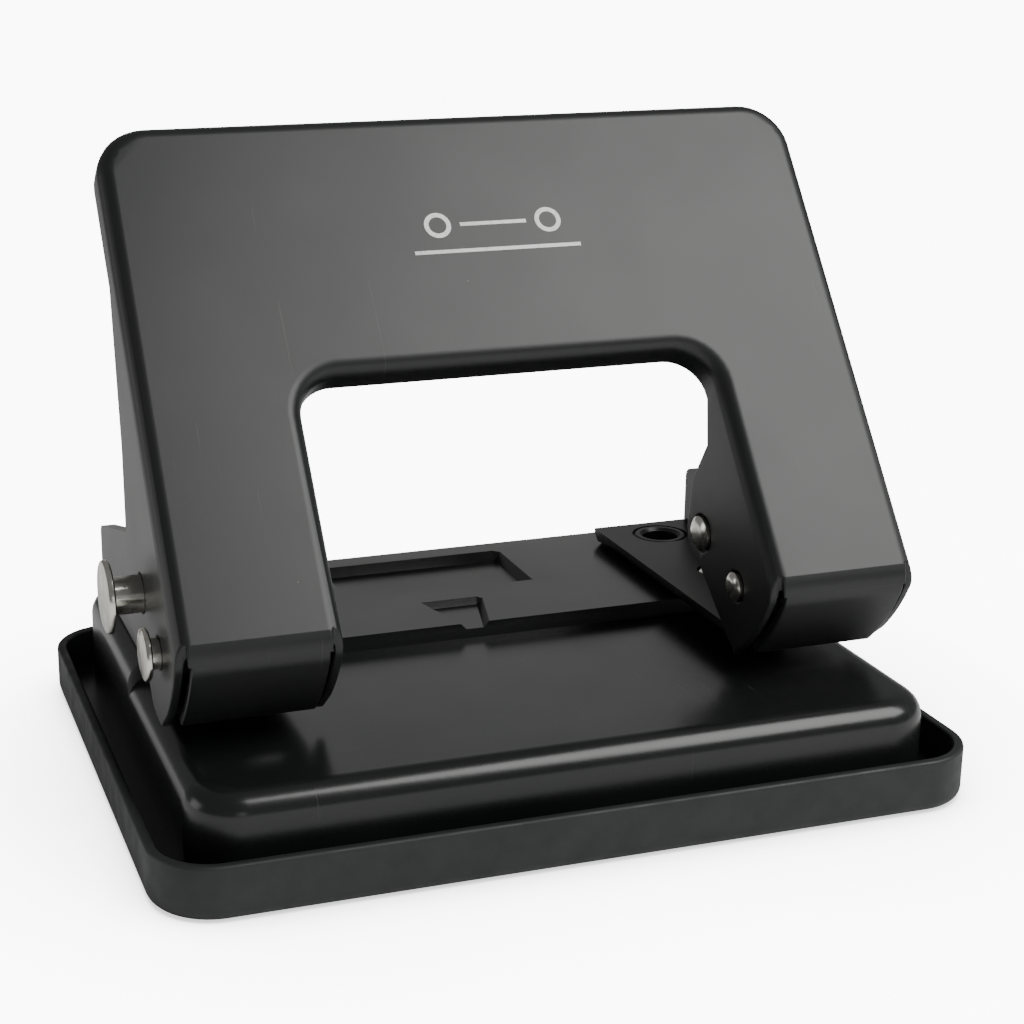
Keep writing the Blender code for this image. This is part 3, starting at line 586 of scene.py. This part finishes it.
def turned(name: str, profile: Profile, sides: int = 64) -> Object:
    """Turn a piece about Z: extrude a circle along its profile and scale it at each step.

    Args:
        name: the piece's name.
        profile: (radius, height) from one end to the other; a ring comes back to its start.
        sides: the number of sides.

    Returns:
        The piece at the origin.
    """
    ring = profile[0] == profile[-1]
    deselect()
    bpy.ops.mesh.primitive_circle_add(vertices=sides, radius=profile[0][0],
                                      fill_type="NOTHING" if ring else "NGON",
                                      location=(0.0, 0.0, profile[0][1]))
    piece = bpy.context.object
    piece.name = name
    bpy.ops.object.transform_apply(location=True, rotation=True, scale=True)

    def turn() -> None:
        """Extrude and scale along the profile."""
        for (before, low), (after, high) in zip(profile, profile[1:]):
            bpy.ops.mesh.extrude_region_move(TRANSFORM_OT_translate={"value": (0.0, 0.0, high - low)})
            ratio = after / before
            bpy.ops.transform.resize(value=(ratio, ratio, 1.0), center_override=(0.0, 0.0, high))
        bpy.ops.mesh.select_all(action="SELECT")
        bpy.ops.mesh.remove_doubles(threshold=1e-6)
        bpy.ops.mesh.normals_make_consistent(inside=False)

    in_edit_mode(piece, turn)
    return piece


def block(name: str, low: Vector, high: Vector) -> Object:
    """A block between two corners, the start of a moulding or a bar.

    Args:
        name: the piece's name.
        low: its lowest corner.
        high: its highest corner.

    Returns:
        The block, its object at the origin.
    """
    deselect()
    bpy.ops.mesh.primitive_cube_add(size=1.0)
    piece = bpy.context.object
    piece.name = name
    piece.scale = high - low
    piece.location = (low + high) / 2
    bpy.ops.object.transform_apply(location=True, rotation=True, scale=True)
    return piece


def bar(name: str, size: tuple[float, float, float], edge: float) -> Object:
    """A small bar with broken edges, centred at the origin.

    Args:
        name: the piece's name.
        size: its length along X, Y and Z in metres.
        edge: the width of its broken edges.

    Returns:
        The bar.
    """
    piece = block(name, -Vector(size) / 2, Vector(size) / 2)
    in_edit_mode(piece, lambda: bpy.ops.mesh.bevel(offset=edge, segments=2, affect="EDGES"))
    return piece


def middle(node: str) -> Vector:
    """The middle of a model node's box."""
    low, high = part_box(node)
    return (Vector(low) + Vector(high)) / 2


# ---------------------------------------------------------------- sub-assemblies

@dataclass
class Lever:
    """The pressed lever and the mark printed on its face."""

    finishes: Finishes
    nodes: dict[str, Object]
    edge: float = 0.28 * MM
    weld: float = 0.04 * MM
    lean: float = math.radians(37.3)
    mark_up: float = 54.0 * MM
    mark_across: float = 2.0 * MM
    mark_thick: float = 0.03 * MM
    ring_spacing: float = 16.0 * MM
    ring_out: float = 1.9 * MM
    ring_in: float = 1.25 * MM
    line_width: float = 0.55 * MM
    line_drop: float = 4.0 * MM
    fold_height: float = 31.3 * MM

    @property
    def out(self) -> Vector:
        """The direction straight out of the face."""
        return Vector((0.0, -math.cos(self.lean), math.sin(self.lean)))

    def build(self) -> None:
        """Build the shell and the mark."""
        shell = pressed_copy(self.nodes["lever"], "lever_shell", self.edge, self.weld, 3,
                             held=False)
        dress(shell, self.finishes.enamel, "lever", "black_enamel", "lever")
        self.build_mark()

    def on_face(self, across: float, up: float) -> Matrix:
        """A place on the face with its Z axis pointing out of it.

        Args:
            across: the distance to the right of the middle.
            up: the distance up the face from the fold.

        Returns:
            The place, with half the mark's thickness proud of the face.
        """
        along = Vector((0.0, math.sin(self.lean), math.cos(self.lean)))
        fold = Vector((0.0, self.fold_depth(), self.fold_height))
        spot = fold + along * up + self.out * (self.mark_thick * 0.55)
        turn = Matrix.Rotation(math.pi / 2 - self.lean, 4, "X")
        return Matrix.Translation((across, spot.y, spot.z)) @ turn

    def fold_depth(self) -> float:
        """Where the face, carried down in its own plane, crosses the fold's height."""
        mesh = self.nodes["lever"].data
        reach = max(self.out.dot(vertex.co) for vertex in mesh.vertices if vertex.co.z > self.fold_height)
        return (self.fold_height * math.sin(self.lean) - reach) / math.cos(self.lean)

    def build_mark(self) -> None:
        """Print a plain pictogram of a punched edge: a ring at each hole and a line between."""
        thick = self.mark_thick / 2
        marks: list[Object] = []
        for side in Side:
            ring = turned(f"mark_{side.name.lower()}", (
                (self.ring_out, -thick), (self.ring_out, thick), (self.ring_in, thick),
                (self.ring_in, -thick), (self.ring_out, -thick)), 40)
            across = self.mark_across + side.value * self.ring_spacing / 2
            marks.append(settle(ring, self.on_face(across, self.mark_up)))
        for down, extra in ((0.0, -6.4 * MM), (self.line_drop, 8.0 * MM)):
            size = (self.ring_spacing + extra, self.line_width, self.mark_thick)
            line = bar("mark_line", size, self.mark_thick * 0.3)
            marks.append(settle(line, self.on_face(self.mark_across, self.mark_up - down)))
        deselect()
        for piece in marks:
            piece.select_set(True)
        bpy.context.view_layer.objects.active = marks[0]
        bpy.ops.object.join()
        mark = bpy.context.object
        mark.name = "face_mark"
        dress(mark, self.finishes.print_white, "lever", "black_enamel")


@dataclass
class Base:
    """The pressed base plate and the brackets on it."""

    finishes: Finishes
    nodes: dict[str, Object]
    bracket_edge: float = 0.30 * MM
    weld: float = 0.02 * MM
    lip_reach: float = 1.4 * MM
    rolled_reach: float = 0.8 * MM
    rivet_shank: float = 1.5 * MM

    def build(self) -> None:
        """Build the plate, both brackets and what fastens them."""
        plate = pressed_copy(self.nodes["base_plate"], "base_shell", 0.0, self.weld)
        dress(plate, self.finishes.gloss, "base", "black_enamel", "base_plate")
        for side in Side:
            node = side.node("bracket")
            bracket = pressed_copy(self.nodes[node], f"{node}_shell", self.bracket_edge, self.weld)
            dress(bracket, self.finishes.enamel, "base", "black_enamel", node)
            self.build_eyelet(side)
            self.build_rivet(side)

    def build_eyelet(self, side: Side) -> None:
        """Build the rolled eyelet at the rear of a bracket's foot.

        Args:
            side: the arm that it belongs to.
        """
        node = side.node("foot_eyelet")
        low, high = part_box(node)
        lip = (high[0] - low[0]) / 2
        bore, barrel = lip - self.lip_reach, lip - self.rolled_reach
        bottom, top = low[2], high[2]
        profile = (
            (bore, bottom + 0.3 * MM), (bore + 0.3 * MM, bottom), (lip - 0.3 * MM, bottom),
            (lip, bottom + 0.35 * MM), (lip - 0.3 * MM, bottom + 0.7 * MM), (barrel, bottom + 0.7 * MM),
            (barrel, top - 0.4 * MM), (lip - 0.1 * MM, top - 0.4 * MM), (lip, top - 0.25 * MM),
            (lip - 0.35 * MM, top), (bore + 0.5 * MM, top), (bore, top - 0.45 * MM),
            (bore, bottom + 0.3 * MM),
        )
        spot = middle(node)
        eyelet = settle(turned(f"{node}_rolled", profile), Matrix.Translation((spot.x, spot.y, 0.0)))
        dress(eyelet, self.finishes.enamel, "base", "black_enamel", node)

    def build_rivet(self, side: Side) -> None:
        """Build the solid rivet at the front of a bracket's foot.

        Args:
            side: the arm that it belongs to.
        """
        node = side.node("foot_rivet")
        low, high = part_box(node)
        head, shank = (high[0] - low[0]) / 2, self.rivet_shank
        bottom, top = low[2], high[2]
        profile = (
            (head * 0.4, bottom), (head * 0.8, bottom + 0.12 * MM), (head, bottom + 0.4 * MM),
            (head, bottom + 0.7 * MM), (shank, bottom + 0.7 * MM), (shank, top - 0.6 * MM),
            (head, top - 0.6 * MM), (head, top - 0.3 * MM), (head * 0.85, top - 0.1 * MM),
            (head * 0.45, top),
        )
        spot = middle(node)
        rivet = settle(turned(f"{node}_peened", profile), Matrix.Translation((spot.x, spot.y, 0.0)))
        dress(rivet, self.finishes.nickel, "base", "nickel_plate", node)


@dataclass
class Tray:
    """The soft plastic chip tray."""

    finishes: Finishes
    wall: float = 1.4 * MM
    corner: float = 8.5 * MM
    foot_round: float = 1.5 * MM
    rim_round: float = 0.45 * MM

    def build(self) -> None:
        """Build the tray as a rounded open box with a wall."""
        low, high = (Vector(corner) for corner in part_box("chip_tray"))
        tray = block("chip_tray_moulded", low, high)
        mesh = tray.data

        def upright(edge: bpy.types.MeshEdge) -> bool:
            """Whether an edge of the block runs along Z."""
            first, second = (mesh.vertices[k].co for k in edge.vertices)
            return abs(first.z - second.z) > (high.z - low.z) / 2

        def level(height: float) -> Callable[[bpy.types.MeshPolygon], bool]:
            """A test for the face at one height."""
            return lambda face: abs(face.center.z - height) < 1e-6 and abs(face.normal.z) > 0.9

        edit_picked(tray, "EDGE", upright, lambda: bpy.ops.mesh.bevel(
            offset=self.corner, segments=14, affect="EDGES"))
        edit_picked(tray, "FACE", level(low.z), lambda: bpy.ops.mesh.bevel(
            offset=self.foot_round, segments=5, affect="EDGES"))
        edit_picked(tray, "FACE", level(high.z), lambda: bpy.ops.mesh.delete(type="FACE"))
        apply_modifier(tray, "SOLIDIFY", thickness=self.wall, offset=-1.0, use_even_offset=True)
        apply_modifier(tray, "BEVEL", width=self.rim_round, segments=3, limit_method="ANGLE",
                       angle_limit=math.radians(60.0))
        settle(tray)
        dress(tray, self.finishes.plastic, "tray", "black_plastic", "chip_tray")


@dataclass
class Mechanism:
    """The pins, punches, washers and springs of the two arms."""

    finishes: Finishes
    nodes: dict[str, Object]
    pivot_shank: float = 2.0 * MM
    pivot_head: float = 0.9 * MM
    drive_shank: float = 2.5 * MM
    drive_head: float = 1.0 * MM
    spring_wire: float = 0.3 * MM
    spring_turns: int = 3
    points_per_turn: int = 40
    washer_bore: float = 3.2 * MM
    washer_edge: float = 0.1 * MM
    stroke: float = 3.945 * MM

    def build(self) -> None:
        """Build both arms."""
        for side in Side:
            self.build_pin(side, "pivot_pin", self.pivot_shank, self.pivot_head)
            self.build_pin(side, "drive_pin", self.drive_shank, self.drive_head)
            self.build_washer(side, "spring_seat", "base")
            self.build_washer(side, "spring_cap", side.node("punch"))
            self.build_spring(side)
            self.finish_punch(side)

    def finish_punch(self, side: Side) -> None:
        """Give the model's own punch its steel finish.

        Args:
            side: the arm that it belongs to.
        """
        punch = self.nodes[side.node("punch")]
        punch.data.materials.clear()
        punch.data.materials.append(self.finishes.tool_steel)
        LOG.info("%s keeps its own mesh", punch.name)

    def build_pin(self, side: Side, kind: str, shank: float, head_thick: float) -> None:
        """Build a headed pin, its tail peened over.

        Args:
            side: the arm that it belongs to.
            kind: the node's name without its side.
            shank: the shank's radius.
            head_thick: the head's thickness.
        """
        node = side.node(kind)
        low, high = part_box(node)
        head = (high[1] - low[1]) / 2
        length = high[0] - low[0]
        profile = (
            (shank * 0.35, 0.0), (shank * 0.75, 0.12 * MM), (shank, 0.55 * MM),
            (shank, length - head_thick), (head - 0.2 * MM, length - head_thick),
            (head, length - head_thick + 0.2 * MM), (head, length - 0.32 * MM),
            (head - 0.12 * MM, length - 0.12 * MM), (head - 0.4 * MM, length),
        )
        pin = turned(f"{node}_turned", profile, 72)
        spot = middle(node)
        start = low[0] if side is Side.RIGHT else high[0]
        turn = Matrix.Rotation(side.value * math.pi / 2, 4, "Y")
        settle(pin, Matrix.Translation((start, spot.y, spot.z)) @ turn)
        dress(pin, self.finishes.nickel, "lever", "nickel_plate", node)

    def build_washer(self, side: Side, kind: str, body: str) -> None:
        """Build a flat washer round the punch.

        Args:
            side: the arm that it belongs to.
            kind: the node's name without its side.
            body: the body that it rides on.
        """
        node = side.node(kind)
        low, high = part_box(node)
        rim = (high[0] - low[0]) / 2
        edge = self.washer_edge
        profile = (
            (self.washer_bore, low[2]), (rim - edge, low[2]), (rim, low[2] + edge),
            (rim, high[2] - edge), (rim - edge, high[2]), (self.washer_bore, high[2]),
            (self.washer_bore, low[2]),
        )
        spot = middle(node)
        washer = settle(turned(f"{node}_washer", profile), Matrix.Translation((spot.x, spot.y, 0.0)))
        dress(washer, self.finishes.nickel, body, "nickel_plate", node)

    def build_spring(self, side: Side) -> None:
        """Wind the return spring, its end turns closed.

        Args:
            side: the arm that it belongs to.
        """
        node = side.node("return_spring")
        low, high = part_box(node)
        radius = (high[0] - low[0]) / 2 - self.spring_wire
        bottom, top = low[2] + self.spring_wire, high[2] - self.spring_wire
        centre = middle(side.node("spring_seat"))
        count = self.points_per_turn * self.spring_turns
        curve = bpy.data.curves.new(f"{node}_wire", "CURVE")
        curve.dimensions = "3D"
        curve.bevel_depth = self.spring_wire
        curve.bevel_resolution = 3
        curve.use_fill_caps = True
        spline = curve.splines.new("POLY")
        spline.points.add(count)
        for k, point in enumerate(spline.points):
            angle = 2 * math.pi * k / self.points_per_turn
            closed = self.points_per_turn / 2
            rise = min(max((k - closed) / (count - 2 * closed), 0.0), 1.0)
            point.co = (centre.x + radius * math.cos(angle), centre.y + radius * math.sin(angle),
                        bottom + (top - bottom) * rise, 1.0)
        piece = bpy.data.objects.new(f"{node}_wound", curve)
        bpy.context.scene.collection.objects.link(piece)
        work_on(piece)
        bpy.ops.object.convert(target="MESH")
        piece = bpy.context.object
        in_edit_mode(piece, lambda: bpy.ops.mesh.remove_doubles(threshold=1e-6))
        settle(piece, smooth=50.0)
        dress(piece, self.finishes.spring_steel, "base", "spring_steel", node)
        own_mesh(piece)


@dataclass(frozen=True)
class Lamp:
    """A square softbox that faces the punch."""

    name: str
    spot: tuple[float, float, float]
    size: float
    power: float
    colour: tuple[float, float, float] = (0.98, 1.0, 0.97)

    def hang(self, target: Vector) -> None:
        """Hang the box and aim it.

        Args:
            target: what it faces.
        """
        data = bpy.data.lights.new(self.name, "AREA")
        data.shape = "SQUARE"
        data.size = self.size
        data.energy = self.power
        data.color = self.colour
        lamp = bpy.data.objects.new(self.name, data)
        lamp.location = self.spot
        lamp.visible_camera = False
        aim = target - Vector(self.spot)
        lamp.rotation_euler = aim.to_track_quat("-Z", "Y").to_euler()
        bpy.context.scene.collection.objects.link(lamp)


@dataclass
class Studio:
    """The sweep, the lights and the camera."""

    lens: float = 69.22
    shift: tuple[float, float] = (0.1374, -0.0234)
    spot: tuple[float, float, float] = (-92.9 * MM, -248.2 * MM, 116.8 * MM)
    yaw: float = math.radians(17.12)
    pitch: float = math.radians(16.69)
    roll: float = math.radians(-0.37)
    sweep_size: float = 6.0
    room_light: float = 0.20
    target: tuple[float, float, float] = (0.0, 0.0, 30.0 * MM)
    lamps: tuple[Lamp, ...] = (
        Lamp("key_box", (0.50, -0.44, 0.78), 0.66, 9.5),
        Lamp("front_fill", (-0.10, -1.30, 0.25), 0.30, 0.4),
        Lamp("back_glow", (0.36, 1.00, 0.44), 0.42, 0.2),
        Lamp("left_box", (-1.10, 0.30, 0.20), 0.50, 1.4),
    )

    def build(self) -> None:
        """Build the whole stage."""
        self.build_sweep()
        self.build_lights()
        self.build_camera()

    def build_sweep(self) -> None:
        """Lay a wide pale floor."""
        deselect()
        bpy.ops.mesh.primitive_plane_add(size=self.sweep_size, location=(0.0, 0.0, -0.05 * MM))
        floor = bpy.context.object
        floor.name = "sweep"
        in_edit_mode(floor, lambda: bpy.ops.mesh.subdivide(number_cuts=4))
        floor.data.materials.append(Paper().build())

    def build_lights(self) -> None:
        """Hang a large key box on the right, and weak boxes in front, behind and on the left."""
        world = bpy.data.worlds.new("bright_room")
        world.use_nodes = True
        sky = world.node_tree.nodes["Background"]
        sky.inputs["Color"].default_value = (1.0, 1.0, 1.0, 1.0)
        sky.inputs["Strength"].default_value = self.room_light
        bpy.context.scene.world = world
        for lamp in self.lamps:
            lamp.hang(Vector(self.target))

    def build_camera(self) -> None:
        """Set the camera up in front of the left arm."""
        data = bpy.data.cameras.new("camera")
        data.lens = self.lens
        data.sensor_width = 36.0
        data.shift_x, data.shift_y = self.shift
        camera = bpy.data.objects.new("camera", data)
        aim = Matrix.Rotation(-self.yaw, 4, "Z") @ Matrix.Rotation(math.pi / 2 - self.pitch, 4, "X")
        camera.matrix_world = Matrix.Translation(self.spot) @ aim @ Matrix.Rotation(self.roll, 4, "Z")
        bpy.context.scene.collection.objects.link(camera)
        bpy.context.scene.camera = camera


def main() -> None:
    """Build the punch round its frame."""
    logging.basicConfig(level=logging.INFO, format="%(name)s: %(message)s")
    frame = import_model()
    finishes = Finishes()
    Lever(finishes, frame["nodes"]).build()
    Base(finishes, frame["nodes"]).build()
    Tray(finishes).build()
    Mechanism(finishes, frame["nodes"]).build()
    Studio().build()


if __name__ == "__main__":
    main()
